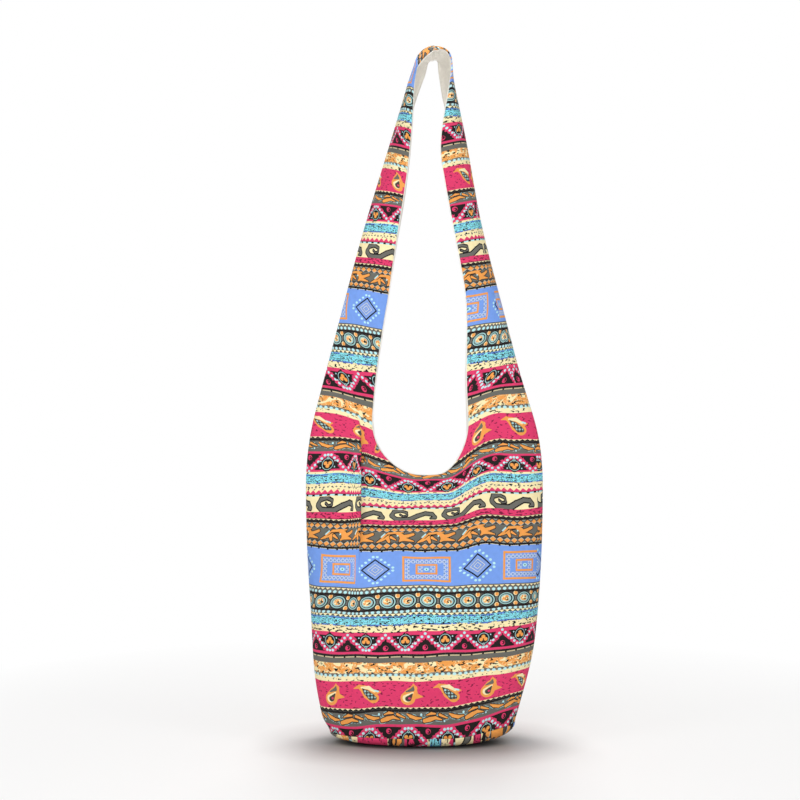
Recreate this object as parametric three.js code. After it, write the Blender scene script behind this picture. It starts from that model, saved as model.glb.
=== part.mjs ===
// A printed cotton sling bag, hung by its strap.
// Millimetres, +Z up. The front faces -Y and +X is on the right as the front is seen.
// The origin is the underside of the strap's top, where it lies on whatever it hangs from.
//
// The bag is sewn from a front and a back panel, each cut in one piece with two long arms, and an oval
// base. The arms fold over at the side seams and meet in a shoulder seam at the top. Every panel has a
// lining of plain cotton, and a printed facing runs round the inside of the mouth at front and back.

import * as THREE from 'three';
import { mergeVertices } from 'three/addons/utils/BufferGeometryUtils.js';

// Driving dimensions
const BODY_WIDTH = 350;        // side seam to side seam, at the widest
const BODY_HEIGHT = 395;       // underside of the base to the low point of the mouth
const STRAP_DROP = 625;        // low point of the mouth to the top of the strap
const BELLY_DEPTH = 150;       // front to back where the body is fullest
const BELLY_LENGTH = 190;      // cloth from the base seam up to the fullest row
const BASE_LENGTH = 278;       // base seam, end to end
const BASE_DEPTH = 112;        // base seam, front to back
const BASE_RIM = 16;           // how far the base curves up to its seam
const BASE_FLAT = 0.62;        // the flat middle of the base, as a share of its outline
const MOUTH_WIDTH = 144;       // between the two upright edges of the mouth
const MOUTH_GAP = 46;          // front edge to back edge, at the low point of the mouth
const MOUTH_SIDE_RISE = 109;   // low point of the mouth to the row where its edge is upright
const MOUTH_SLUMP = 41;        // how far the middle of the mouth hangs below the side seam's end of its row
const SLUMP_LENGTH = 160;      // cloth below the mouth that slumps with it
const SLUMP_FROM = 0.3;        // share of the way from seam to middle where the slump starts
const SLUMP_TO = 0.7;          // and where it is full
const SHOULDER_RISE = 39;      // low point of the mouth to where the strap's line meets the body's side
const SHOULDER_ROUND = 56;     // how far the corner at the shoulder is rounded, each way
const WIDEST_DROP = 23;        // low point of the mouth down to the widest row
const STRAP_HALF = 50;         // side seam to edge, on the narrow length of an arm
const STRAP_TAPER = 308;       // cloth over which an arm narrows to that
const STRAP_FOLD = 14;         // degrees between an arm's half and the flat of the bag
const ARCH_RADIUS = 27;        // curve of the strap over its support
const ARCH_SHIFT = 10;         // how far the strap's top lies to the right of the body
const SHIFT_LENGTH = 320;      // height over which the strap drifts that far
const OPEN_LENGTH_LEFT = 235;  // length below the arch in which the left arm opens out flat
const OPEN_LENGTH_RIGHT = 185; // the same on the right arm
const CLOTH = 1.0;             // printed cotton
const LINING = 0.6;            // plain cotton
const FACING = 0.6;            // printed strip inside the mouth
const FACING_WIDTH = 16;
const CLEARANCE = 0.3;         // between pieces that are sewn together
const FACING_GAP = 0.8;        // facing to lining, which clears the lining's flats
const SQUARENESS = 2.2;        // exponent of the rounded sections: 2 is an ellipse
const SIDE_FLARE = 0.58;       // where the body side's curve is pulled to, as shares of its own
const SIDE_PULL_LOW = 0.2;     // spread and height
const SIDE_PULL_HIGH = 0.6;

// How finely the cloth is divided
const BODY_ROWS = 9;
const MOUTH_ROW_PITCH = 59;    // body width for each row beside the mouth
const MOUTH_ROWS = Math.ceil(BODY_WIDTH / MOUTH_ROW_PITCH);
const ARM_ROWS = 11;
const ARCH_ROWS = 5;
const COLUMN_PITCH = 71;       // body and mouth width for each column
const HALF_COLUMNS = Math.ceil((BODY_WIDTH + MOUTH_WIDTH) / COLUMN_PITCH);
const BASE_RINGS = 3;
const FACING_STEPS = 16;

const FRONT = -1;
const BACK = 1;
const LEFT = -1;
const RIGHT = 1;
const STEP = 0.004;            // parameter step of the surface's slopes
const TINY = 0.001;            // keeps a slope's sample off the cloth's very end
const SEARCH_TURNS = 40;       // halvings when a length of cloth is looked up by its height

const { lerp, smoothstep, degToRad } = THREE.MathUtils;

// The side seam, seen from the front as half-width against height: up the body's side, round the
// shoulder, along the straight strap and over a quarter of the arch.
const halfWidth = BODY_WIDTH / 2;
const topHeight = BODY_HEIGHT + STRAP_DROP;
const shoulderHeight = BODY_HEIGHT + SHOULDER_RISE;
const widestHeight = BODY_HEIGHT - WIDEST_DROP;
const archCentre = new THREE.Vector2(0, topHeight - ARCH_RADIUS);
const shoulder = new THREE.Vector2(halfWidth, shoulderHeight);

const towardsShoulder = shoulder.clone().sub(archCentre);
const tangentTurn = Math.acos(ARCH_RADIUS / towardsShoulder.length());
const strapLean = Math.atan2(towardsShoulder.y, towardsShoulder.x) + tangentTurn;
const archFoot = new THREE.Vector2(Math.cos(strapLean), Math.sin(strapLean))
  .multiplyScalar(ARCH_RADIUS)
  .add(archCentre);
const strapStart = archFoot.clone().sub(shoulder).setLength(SHOULDER_ROUND).add(shoulder);

function sideSeam() {
  const flare = (halfWidth - BASE_LENGTH / 2) * SIDE_FLARE;
  const bodyHeight = widestHeight - BASE_RIM;
  const seam = new THREE.Path();
  seam.moveTo(BASE_LENGTH / 2, BASE_RIM);
  seam.bezierCurveTo(
    BASE_LENGTH / 2 + flare, BASE_RIM + bodyHeight * SIDE_PULL_LOW,
    halfWidth, BASE_RIM + bodyHeight * SIDE_PULL_HIGH,
    halfWidth, widestHeight,
  );
  seam.lineTo(halfWidth, shoulderHeight - SHOULDER_ROUND);
  seam.quadraticCurveTo(shoulder.x, shoulder.y, strapStart.x, strapStart.y);
  seam.lineTo(archFoot.x, archFoot.y);
  seam.absarc(archCentre.x, archCentre.y, ARCH_RADIUS, strapLean, Math.PI / 2);
  return seam;
}

const seam = sideSeam();
const seamLength = seam.getLength();

// The length of cloth along the seam, from the base up to a height
function clothUpTo(height) {
  let low = 0;
  let high = seamLength;
  for (let turn = 0; turn < SEARCH_TURNS; turn += 1) {
    const middle = (low + high) / 2;
    if (seam.getPoint(middle / seamLength).y < height) low = middle;
    else high = middle;
  }
  return low;
}

const mouthLow = clothUpTo(BODY_HEIGHT + MOUTH_SLUMP);
const mouthSide = clothUpTo(BODY_HEIGHT + MOUTH_SIDE_RISE);
const archStart = clothUpTo(archFoot.y);
const taperEnd = mouthSide + STRAP_TAPER;
const foldAngle = degToRad(STRAP_FOLD);
const mouthSideX = seam.getPoint(mouthSide / seamLength).x;
const armRoot = (mouthSideX - MOUTH_WIDTH / 2) / Math.cos(foldAngle);

// Width of an arm from its seam to its edge, along the cloth
function armWidth(v) {
  const left = Math.max(0, (taperEnd - v) / STRAP_TAPER);
  return STRAP_HALF + (armRoot - STRAP_HALF) * left * left;
}

// Angle between an arm's half and the flat of the bag: folded low down, opened out flat over the arch
function openAngle(side, v) {
  const length = side === LEFT ? OPEN_LENGTH_LEFT : OPEN_LENGTH_RIGHT;
  return lerp(foldAngle, Math.PI / 2, smoothstep(v, archStart - length, archStart));
}

// How far a row reaches inwards from the seam, and how deep it lies there
function rowReach(side, v) {
  const seamX = seam.getPoint(v / seamLength).x;
  if (v < mouthLow) {
    const rise = Math.sin((Math.PI / 2) * Math.min(1, v / BELLY_LENGTH));
    const closing = smoothstep(v, BELLY_LENGTH, mouthLow);
    const belly = lerp(BASE_DEPTH / 2, BELLY_DEPTH / 2, rise);
    return { inward: seamX, depth: lerp(belly, MOUTH_GAP / 2, closing) };
  }
  if (v < mouthSide) {
    const up = (v - mouthLow) / (mouthSide - mouthLow);
    const edge = (MOUTH_WIDTH / 2) * Math.sqrt(1 - (1 - up) * (1 - up));
    const sideDepth = armWidth(mouthSide) * Math.sin(foldAngle);
    return { inward: seamX - edge, depth: lerp(MOUTH_GAP / 2, sideDepth, up) };
  }
  const angle = openAngle(side, v);
  const width = armWidth(v);
  return { inward: width * Math.cos(angle), depth: width * Math.sin(angle) };
}

// A point of the printed cloth's outer face. s runs from the side seam (0) to the middle of the body or
// the inner edge of an arm (1), and v is the length of cloth up from the base seam. Each row is a quarter
// of a superellipse: it ends at the middle of the body low down, and at the arm's own edge above the mouth.
// Rows of an arm lie square to the strap, and rows near the mouth slump in the middle.
function clothPoint(face, side, s, v) {
  const onSeam = seam.getPoint(v / seamLength);
  const { inward, depth } = rowReach(side, v);
  const across = s >= 1 ? 1 : 1 - Math.cos((Math.PI / 2) * s) ** (2 / SQUARENESS);
  const towardsMiddle = Math.min(1, (inward * across) / Math.max(onSeam.x, CLEARANCE));
  const reach = lerp(towardsMiddle, across, smoothstep(v, mouthLow, mouthSide));
  const out = (1 - (1 - reach) ** SQUARENESS) ** (1 / SQUARENESS);
  const tilt = strapLean * smoothstep(v, mouthLow, mouthSide + SHOULDER_ROUND);
  const slump = MOUTH_SLUMP
    * smoothstep(v, mouthLow - SLUMP_LENGTH, mouthLow)
    * (1 - smoothstep(v, mouthLow, mouthSide + SHOULDER_ROUND));
  const drift = ARCH_SHIFT * smoothstep(onSeam.y, topHeight - SHIFT_LENGTH, topHeight);
  const end = v >= seamLength ? CLEARANCE / 2 : 0;
  return new THREE.Vector3(
    drift + side * (onSeam.x - inward * across + end),
    face * (CLEARANCE / 2 + (depth - CLEARANCE / 2) * out),
    onSeam.y - slump * smoothstep(towardsMiddle, SLUMP_FROM, SLUMP_TO)
      - inward * across * Math.tan(tilt) + (v <= 0 ? CLEARANCE : 0),
  );
}

// The outward normal there. It lies in the plane of each edge that meets another piece's edge, so that
// the edges stay square and the clearance between them even.
function clothNormal(face, side, s, v) {
  const vStep = STEP * seamLength;
  const along = clothPoint(face, side, s, Math.min(v + vStep, seamLength - TINY))
    .sub(clothPoint(face, side, s, Math.max(v - vStep, TINY)));
  const acrossIt = clothPoint(face, side, Math.min(s + STEP, 1), v)
    .sub(clothPoint(face, side, Math.max(s - STEP, 0), v));
  const normal = acrossIt.cross(along).multiplyScalar(side * face);
  if (s <= 0) normal.y = 0;
  if (s >= 1 && v <= mouthLow) normal.x = 0;
  if (v <= 0) normal.z = 0;
  if (v >= seamLength) normal.x = 0;
  return normal.normalize();
}

function clothUnder(face, side, s, v, depth) {
  const normal = clothNormal(face, side, s, v);
  return clothPoint(face, side, s, v).addScaledVector(normal, -depth);
}

// Rows of a panel, as lengths of cloth from the base seam: even up the body, arms and arch, and closer
// at the foot of the mouth so that its edge stays round
function panelRows() {
  const rows = [];
  for (let i = 0; i < BODY_ROWS; i += 1) rows.push((mouthLow * i) / BODY_ROWS);
  for (let i = 0; i < MOUTH_ROWS; i += 1) {
    const turn = ((Math.PI / 2) * i) / MOUTH_ROWS;
    rows.push(lerp(mouthLow, mouthSide, 1 - Math.cos(turn)));
  }
  for (let i = 0; i < ARM_ROWS; i += 1) rows.push(lerp(mouthSide, archStart, i / ARM_ROWS));
  for (let i = 0; i <= ARCH_ROWS; i += 1) rows.push(lerp(archStart, seamLength, i / ARCH_ROWS));
  return rows;
}

// Collects quads as triangles. All of a solid's quads wind the same way round.
class Faces {
  constructor() {
    this.points = [];
  }

  quad(a, b, c, d, flip) {
    const corners = flip ? [a, c, b, a, d, c] : [a, b, c, a, c, d];
    this.points.push(...corners);
  }

  triangle(a, b, c, flip) {
    this.points.push(...(flip ? [a, c, b] : [a, b, c]));
  }

  solid() {
    const corners = new THREE.BufferGeometry().setFromPoints(this.points);
    const geometry = mergeVertices(corners, CLEARANCE / 100);
    geometry.computeVertexNormals();
    return geometry;
  }
}

// Closes two matching grids into a shell: the outer face, the inner face and the edges between them.
// edges says which of the grid's four sides are open edges of the piece, for each step along them.
function addShell(faces, outer, inner, flip, edges) {
  const rows = outer.length - 1;
  const columns = outer[0].length - 1;
  for (let i = 0; i < rows; i += 1) {
    for (let j = 0; j < columns; j += 1) {
      faces.quad(outer[i][j], outer[i][j + 1], outer[i + 1][j + 1], outer[i + 1][j], flip);
      faces.quad(inner[i][j], inner[i][j + 1], inner[i + 1][j + 1], inner[i + 1][j], !flip);
    }
    if (edges.first(i)) {
      faces.quad(outer[i][0], outer[i + 1][0], inner[i + 1][0], inner[i][0], flip);
    }
    if (edges.last(i)) {
      const j = columns;
      faces.quad(outer[i][j], outer[i + 1][j], inner[i + 1][j], inner[i][j], !flip);
    }
  }
  for (let j = 0; j < columns; j += 1) {
    if (edges.bottom) faces.quad(outer[0][j], outer[0][j + 1], inner[0][j + 1], inner[0][j], !flip);
    if (edges.top) faces.quad(outer[rows][j], outer[rows][j + 1], inner[rows][j + 1], inner[rows][j], flip);
  }
}

// A front or back panel, or its lining, between two depths below the printed face
function panel(face, from, to) {
  const faces = new Faces();
  const rows = panelRows();
  const firstMouthRow = BODY_ROWS;
  for (const side of [LEFT, RIGHT]) {
    const grid = (depth) => rows.map((v) => Array.from(
      { length: HALF_COLUMNS + 1 },
      (_, j) => clothUnder(face, side, j / HALF_COLUMNS, v, depth),
    ));
    addShell(faces, grid(from), grid(to), side * face < 0, {
      first: () => true,
      last: (i) => i >= firstMouthRow,
      bottom: true,
      top: true,
    });
  }
  return faces.solid();
}

// A point of the mouth's edge, or below it: turn goes round from one upright edge (-1) through the low
// point (0) to the other (1), and below is the distance from the edge along the cloth.
function mouthPoint(face, turn, below, depth) {
  const side = turn < 0 ? LEFT : RIGHT;
  const angle = (Math.PI / 2) * Math.abs(turn);
  const rise = mouthSide - mouthLow;
  const away = new THREE.Vector2(Math.sin(angle) * rise, -Math.cos(angle) * (MOUTH_WIDTH / 2))
    .setLength(below);
  const x = (MOUTH_WIDTH / 2) * Math.sin(angle) + away.x;
  const v = lerp(mouthLow, mouthSide, 1 - Math.cos(angle)) + away.y;
  const seamX = seam.getPoint(v / seamLength).x;
  const across = Math.min(1, (seamX - x) / rowReach(side, v).inward);
  const s = Math.acos((1 - across) ** (SQUARENESS / 2)) / (Math.PI / 2);
  return clothUnder(face, side, s, v, depth);
}

// The printed strip inside the mouth, on top of the lining
function mouthFacing(face) {
  const faces = new Faces();
  const from = CLOTH + CLEARANCE + LINING + FACING_GAP;
  const widths = [0, FACING_WIDTH / 2, FACING_WIDTH];
  const grid = (depth) => widths.map((below) => Array.from(
    { length: FACING_STEPS + 1 },
    (_, k) => mouthPoint(face, -1 + (2 * k) / FACING_STEPS, below, depth),
  ));
  addShell(faces, grid(from), grid(from + FACING), face === FRONT, {
    first: () => true,
    last: () => true,
    bottom: true,
    top: true,
  });
  return faces.solid();
}

// The base, or its lining: a shallow dish whose rim follows the panels' lower edges, upright at the seam
// and flat in the middle. depth is how far the face lies inside the printed one.
function baseFace(depth) {
  const rim = [];
  for (const [face, side] of [[FRONT, LEFT], [FRONT, RIGHT], [BACK, RIGHT], [BACK, LEFT]]) {
    const towardsMiddle = face * side > 0;
    for (let j = 0; j < HALF_COLUMNS; j += 1) {
      const s = (towardsMiddle ? j : HALF_COLUMNS - j) / HALF_COLUMNS;
      rim.push(clothUnder(face, side, s, 0, depth).setZ(0));
    }
  }
  const rings = [];
  for (let k = 0; k <= BASE_RINGS; k += 1) {
    const turn = ((Math.PI / 2) * k) / BASE_RINGS;
    const share = lerp(BASE_FLAT, 1, Math.sin(turn));
    const height = lerp(depth, BASE_RIM, 1 - Math.cos(turn));
    rings.push(rim.map((point) => point.clone().multiplyScalar(share).setZ(height)));
  }
  return { rings, middle: new THREE.Vector3(0, 0, depth) };
}

function base(from, to) {
  const faces = new Faces();
  const under = baseFace(from);
  const upper = baseFace(to);
  const count = under.rings[0].length;
  for (let j = 0; j < count; j += 1) {
    const next = (j + 1) % count;
    for (let k = 0; k < BASE_RINGS; k += 1) {
      const [a, b] = [under.rings[k], under.rings[k + 1]];
      const [c, d] = [upper.rings[k], upper.rings[k + 1]];
      faces.quad(a[j], b[j], b[next], a[next], true);
      faces.quad(c[j], d[j], d[next], c[next], false);
    }
    const [outerRim, innerRim] = [under.rings[BASE_RINGS], upper.rings[BASE_RINGS]];
    faces.quad(outerRim[j], innerRim[j], innerRim[next], outerRim[next], true);
    faces.triangle(under.middle, under.rings[0][j], under.rings[0][next], true);
    faces.triangle(upper.middle, upper.rings[0][j], upper.rings[0][next], false);
  }
  return faces.solid();
}

// The pieces
const printedCotton = new THREE.MeshStandardMaterial({ color: 0xd8336f, roughness: 0.85, metalness: 0 });
const plainCotton = new THREE.MeshStandardMaterial({ color: 0xebe4d8, roughness: 0.9, metalness: 0 });

const bag = new THREE.Group();
bag.name = 'sling_bag';

function sew(name, geometry, material) {
  const mesh = new THREE.Mesh(geometry, material);
  mesh.name = name;
  bag.add(mesh);
}

const liningFrom = CLOTH + CLEARANCE;
const liningTo = liningFrom + LINING;

sew('front_panel', panel(FRONT, 0, CLOTH), printedCotton);
sew('back_panel', panel(BACK, 0, CLOTH), printedCotton);
sew('base_panel', base(0, CLOTH), printedCotton);
sew('front_lining', panel(FRONT, liningFrom, liningTo), plainCotton);
sew('back_lining', panel(BACK, liningFrom, liningTo), plainCotton);
sew('base_lining', base(liningFrom, liningTo), plainCotton);
sew('front_mouth_facing', mouthFacing(FRONT), printedCotton);
sew('back_mouth_facing', mouthFacing(BACK), printedCotton);

bag.position.set(-ARCH_SHIFT, 0, liningTo - topHeight);

export default bag;
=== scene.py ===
# %% [markdown]
# # A printed cotton sling bag
# The bag is a soft pouch sewn from a front panel, a back panel and an oval base. Each panel runs up into
# two long arms, which fold over at the side seams and meet at the top as one wide strap.
# This lesson builds the cloth as grids of points worked out with numpy, and prints the bands of pattern
# on it with shader nodes. The CAD model is loaded first, as the frame that everything has to fit.

import bpy
import numpy as np
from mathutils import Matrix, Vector


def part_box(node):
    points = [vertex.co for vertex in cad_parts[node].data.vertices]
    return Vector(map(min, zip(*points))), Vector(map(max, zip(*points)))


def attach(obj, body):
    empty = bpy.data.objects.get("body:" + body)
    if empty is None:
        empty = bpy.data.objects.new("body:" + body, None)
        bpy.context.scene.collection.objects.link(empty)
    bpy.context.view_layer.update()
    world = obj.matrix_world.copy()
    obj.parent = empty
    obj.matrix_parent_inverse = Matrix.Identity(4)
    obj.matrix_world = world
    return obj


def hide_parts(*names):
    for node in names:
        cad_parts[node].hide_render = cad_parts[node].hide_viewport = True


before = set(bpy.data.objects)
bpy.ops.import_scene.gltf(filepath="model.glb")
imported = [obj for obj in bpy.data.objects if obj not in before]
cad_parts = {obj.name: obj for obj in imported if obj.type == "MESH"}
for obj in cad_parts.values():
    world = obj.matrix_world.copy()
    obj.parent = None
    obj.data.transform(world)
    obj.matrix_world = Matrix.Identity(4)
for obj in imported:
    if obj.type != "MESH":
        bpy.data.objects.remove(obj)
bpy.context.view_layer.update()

# %% [markdown]
# ## Sizes of the bag
# The outer sizes are read from the frame, so the cloth can't drift away from the CAD model. The rest are
# the cutter's sizes: how wide the mouth is, where the arms narrow, how far the strap folds. All of them
# are in millimetres, because that is how cloth is measured, and the meshes turn them into metres at the end.

# %% Read the outer sizes
MM = 0.001
base_low, base_high = (np.array(corner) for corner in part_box("base_panel"))
front_low, front_high = (np.array(corner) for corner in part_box("front_panel"))
foot = np.array([(base_low[0] + base_high[0]) / 2, 0.0, base_low[2]])
BODY_WIDTH = (front_high[0] - front_low[0]) / MM
TOP = (front_high[2] - base_low[2]) / MM
BASE_LENGTH = (base_high[0] - base_low[0]) / MM
BASE_DEPTH = (base_high[1] - base_low[1]) / MM
BELLY_DEPTH = -2 * front_low[1] / MM
print("body", round(BODY_WIDTH), "wide,", round(TOP), "high over all,", round(BELLY_DEPTH), "deep")

# %% Name the cutter's sizes
FRONT, BACK = -1, 1
LEFT, RIGHT = -1, 1
BODY_HEIGHT = 395.0
BELLY_LENGTH = 190.0
BASE_RIM = 16.0
BASE_FLAT = 0.38
MOUTH_HALF = {LEFT: 78.0, RIGHT: 68.0}
MOUTH_GAP = 46.0
MOUTH_SIDE_RISE = 109.0
MOUTH_SLUMP = 48.0
MOUTH_SAG = 2.0
SLUMP_LENGTH = 126.0
SHOULDER_RISE = 39.0
SHOULDER_ROUND = 56.0
WIDEST_DROP = 23.0
STRAP_HALF = {LEFT: 56.0, RIGHT: 50.0}
STRAP_TAPER = 308.0
STRAP_FOLD = np.radians(14.0)
ARCH_RADIUS = 27.0
ARCH_SHIFT = 10.0
SHIFT_LENGTH = 320.0
STRAP_DROOP = 3.0
STRAP_LOPSIDED = 15.0
STRAP_LIMIT = {LEFT: np.radians(77.0), RIGHT: np.radians(73.0)}
BACK_TURN = np.radians(8.0)
OPEN_LENGTH = {LEFT: 355.0, RIGHT: 150.0}
TUCK = np.radians(22.0)
SQUARENESS = 2.2
MOUTH_SQUARENESS = 2.6
print("mouth", sum(MOUTH_HALF.values()), "wide, strap halves", *STRAP_HALF.values())

# %% [markdown]
# ## The side seam
# Seen from the front, the outline of the bag is its side seam: up the bulging side, round the shoulder,
# straight along the strap and over the top. A Bezier curve in Blender would draw it, but the cloth needs
# to look up a point by the length of cloth below it, so the outline is a dense line of points with its
# running length, and np.interp does the looking up.

# %% Draw the side seam
def bezier(corners, count=300):
    """Points on a quadratic or cubic curve: straight steps between corners, mixed again until one is left."""
    t = np.linspace(0, 1, count)[:, None]
    points = [np.array(corner, float) for corner in corners]
    while len(points) > 1:
        points = [a + (b - a) * t for a, b in zip(points, points[1:])]
    return points[0]


half = BODY_WIDTH / 2
widest = BODY_HEIGHT - WIDEST_DROP
shoulder = np.array([half, BODY_HEIGHT + SHOULDER_RISE])
arch_centre = np.array([0.0, TOP - ARCH_RADIUS])
to_shoulder = shoulder - arch_centre
strap_lean = np.arctan2(to_shoulder[1], to_shoulder[0]) + np.arccos(ARCH_RADIUS / np.hypot(*to_shoulder))
arch_foot = arch_centre + ARCH_RADIUS * np.array([np.cos(strap_lean), np.sin(strap_lean)])
strap_way = (arch_foot - shoulder) / np.hypot(*(arch_foot - shoulder))
strap_start = shoulder + SHOULDER_ROUND * strap_way

flare = (half - BASE_LENGTH / 2) * 0.58
side_rise = widest - BASE_RIM
body_side = bezier([
    (BASE_LENGTH / 2, BASE_RIM),
    (BASE_LENGTH / 2 + flare, BASE_RIM + 0.2 * side_rise),
    (half, BASE_RIM + 0.6 * side_rise),
    (half, widest),
])
shoulder_bend = bezier([(half, shoulder[1] - SHOULDER_ROUND), shoulder, strap_start])
arch_turn = np.linspace(strap_lean, np.pi / 2, 120)[:, None]
arch = arch_centre + ARCH_RADIUS * np.hstack([np.cos(arch_turn), np.sin(arch_turn)])
seam_line = np.vstack([body_side, shoulder_bend, arch])
seam_step = np.hypot(*np.diff(seam_line, axis=0).T)
seam_run = np.concatenate([[0.0], np.cumsum(seam_step)])
seam_length = seam_run[-1]


def seam_at(v):
    """Half-width and height of the side seam where v millimetres of cloth lie below."""
    return np.interp(v, seam_run, seam_line[:, 0]), np.interp(v, seam_run, seam_line[:, 1])


def cloth_up_to(height):
    """Length of cloth along the seam up to a height: the same table, read the other way."""
    return float(np.interp(height, seam_line[:, 1], seam_run))


mouth_low = cloth_up_to(BODY_HEIGHT + MOUTH_SLUMP)
mouth_side = cloth_up_to(BODY_HEIGHT + MOUTH_SIDE_RISE)
arch_start = cloth_up_to(arch_foot[1])
print("side seam", round(seam_length), "mm, mouth from", round(mouth_low), "to", round(mouth_side))

# %% [markdown]
# ## The hanging cloth
# A row of cloth is a line across the panel at one height on the seam. On the body it runs from the side
# seam to the middle and bulges out as a rounded section. Beside the mouth it stops at the mouth's edge,
# and on an arm it is a narrow strip that stands at an angle to the other panel's strip, until it opens
# out flat over the top. Writing that as one function of two numbers, s across a row and v up the seam,
# means the panels, linings and facings all lie on the same surface.

# %% Smooth steps
def smooth(x, low, high):
    """0 below low, 1 above high, and an S-curve 3t2 - 2t3 between."""
    t = np.clip((x - low) / (high - low), 0, 1)
    return t * t * (3 - 2 * t)


def mix(a, b, t):
    """Straight mixture: a where t is 0, b where t is 1."""
    return a + (b - a) * t


# %% Measure a row of cloth
seam_at_side = float(seam_at(mouth_side)[0])


def mouth_edge(side, v):
    """How far the mouth's edge lies from the middle at a row: a rounded square, 0 below the mouth."""
    up = np.clip((v - mouth_low) / (mouth_side - mouth_low), 0, 1)
    return MOUTH_HALF[side] * (1 - (1 - up) ** MOUTH_SQUARENESS) ** (1 / MOUTH_SQUARENESS)


def arm_width(side, v):
    """Width of half an arm: wide at its root, narrowing as a square over the taper."""
    root = (seam_at_side - MOUTH_HALF[side]) / np.cos(STRAP_FOLD)
    taper = np.clip((mouth_side + STRAP_TAPER - v) / STRAP_TAPER, 0, 1)
    return mix(STRAP_HALF[side], root, taper**2)


def arm_fold(face, side, v):
    """Angle of half an arm to the flat of the bag. It opens towards the top, the right arm is tucked first,
    and the back half of an arm opens only so far until it is over the top."""
    opening = 1 - np.clip((arch_start - v) / OPEN_LENGTH[side], 0, 1)
    if side == LEFT:
        fold = mix(STRAP_FOLD, np.pi / 2, opening**1.2)
    else:
        tucked = STRAP_FOLD + TUCK * smooth(v, mouth_side + 20, mouth_side + 190)
        fold = mix(tucked, np.pi / 2, smooth(opening, 0, 1))
    if face == FRONT:
        return fold
    if side == RIGHT:
        fold = fold + BACK_TURN * smooth(v, mouth_side + 20, mouth_side + 190)
    return np.minimum(fold, mix(STRAP_LIMIT[side], np.pi / 2, smooth(v, arch_start, seam_length)))


def row_of(face, side, v):
    """Seam half-width and height of a row, how far it runs inwards and how far it stands out."""
    x, z = seam_at(v)
    up = np.clip((v - mouth_low) / (mouth_side - mouth_low), 0, 1)
    fold = arm_fold(face, side, v)
    belly = mix(BASE_DEPTH / 2, BELLY_DEPTH / 2, np.sin(np.pi / 2 * np.clip(v / BELLY_LENGTH, 0, 1)))
    body_depth = mix(belly, MOUTH_GAP / 2, smooth(v, BELLY_LENGTH, mouth_low))
    mouth_depth = mix(MOUTH_GAP / 2, arm_width(side, mouth_side) * np.sin(STRAP_FOLD), up)
    on_arm = v >= mouth_side
    width = arm_width(side, v)
    inward = np.where(on_arm, np.minimum(width * np.cos(fold), 0.7 * x), x - mouth_edge(side, v))
    depth = np.where(on_arm, width * np.sin(fold), np.where(v < mouth_low, body_depth, mouth_depth))
    return x, z, inward, depth


# %% [markdown]
# ## Folds and slack
# Heavy cotton that hangs from two shoulders isn't smooth. On the left of the front, a strip stands proud
# of the middle along a sharp upright fold. Elsewhere there are soft bends under the shoulders, puckers at
# the base seam and a wave along the free edges of the strap. A cloth simulation could find such folds, but
# not where the real ones are, so each is a short formula added to the surface.

# %% Fold the cloth
PLEAT_AT = -95.0
PLEAT_HALF = 8.0
PLEAT_BACK = 6.0
PLEAT_PROUD = 10.0
ARM_TILT = {LEFT: 1.0, RIGHT: 0.2}
RIDGE_AT = 92.0
RIDGE_HIGH = 5.0
HOLLOW_AT = 58.0
HOLLOW_DEEP = 4.0
CORNER_IN = 6.0
CORNER_UP = 14.0
HIP_IN = 6.0
BOW_IN = 5.0
TOP_SHIFT = 4.0


def pleat_strength(v):
    """How strong the pleat is: nothing low on the bag, full near the mouth, gone again on the arm."""
    return smooth(v, 225, 320) * (1 - smooth(v, mouth_low, mouth_side + 10))


def slack(face, side, x, v, a, lining):
    """How far the cloth stands out from its smooth form: the pleat, soft bends, puckers and edge waves."""
    off_seam = smooth(a, 0.05, 0.4)
    body = 1 - smooth(v, mouth_low, mouth_side)
    lean = x + 0.06 * (v - 250)
    lift = 1.7 * np.sin(lean / 17 + 1.2 * np.sin(v / 71) + 0.7 * face)
    lift += 1.3 * np.sin(x / 29 - v / 53 + 2.1 * face)
    lift += 0.7 * np.sin(x / 9.5 + v / 31 + face)
    lift *= off_seam * body * smooth(v, 5, 120)
    lift += 1.1 * np.sin(x / 3.9 + 0.8 * np.sin(x / 21)) * np.exp(-v / 13) * smooth(v, 0, 6)
    if face == FRONT:
        over = smooth(x, PLEAT_AT - PLEAT_HALF, PLEAT_AT + PLEAT_HALF)
        proud = (1 - over) * (1 - smooth(-x, -PLEAT_AT, -PLEAT_AT + 62))
        sunk = over * (1 - smooth(x, PLEAT_AT + 10, PLEAT_AT + 80))
        if lining:
            proud = 0.0
            sunk = 1.6 * (1 - smooth(np.abs(x - PLEAT_AT), 12, 80))
        lift += PLEAT_PROUD * pleat_strength(v) * (0.65 * proud - 0.35 * sunk)
        bend = smooth(v, 255, 345) * (1 - smooth(v, 430, 500))
        lift += bend * RIDGE_HIGH * np.exp(-(((x - RIDGE_AT) / 15) ** 2))
        lift -= bend * HOLLOW_DEEP * np.exp(-(((x - HOLLOW_AT) / 14) ** 2))
    arm = smooth(v, mouth_side, mouth_side + 60) * (1 - smooth(v, arch_start - 60, arch_start))
    wave = 2.2 * np.sin(v / 37 + 1.3 * side + 0.9 * face) + 1.2 * np.sin(v / 17 + side)
    return lift + arm * wave * a**2


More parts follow.
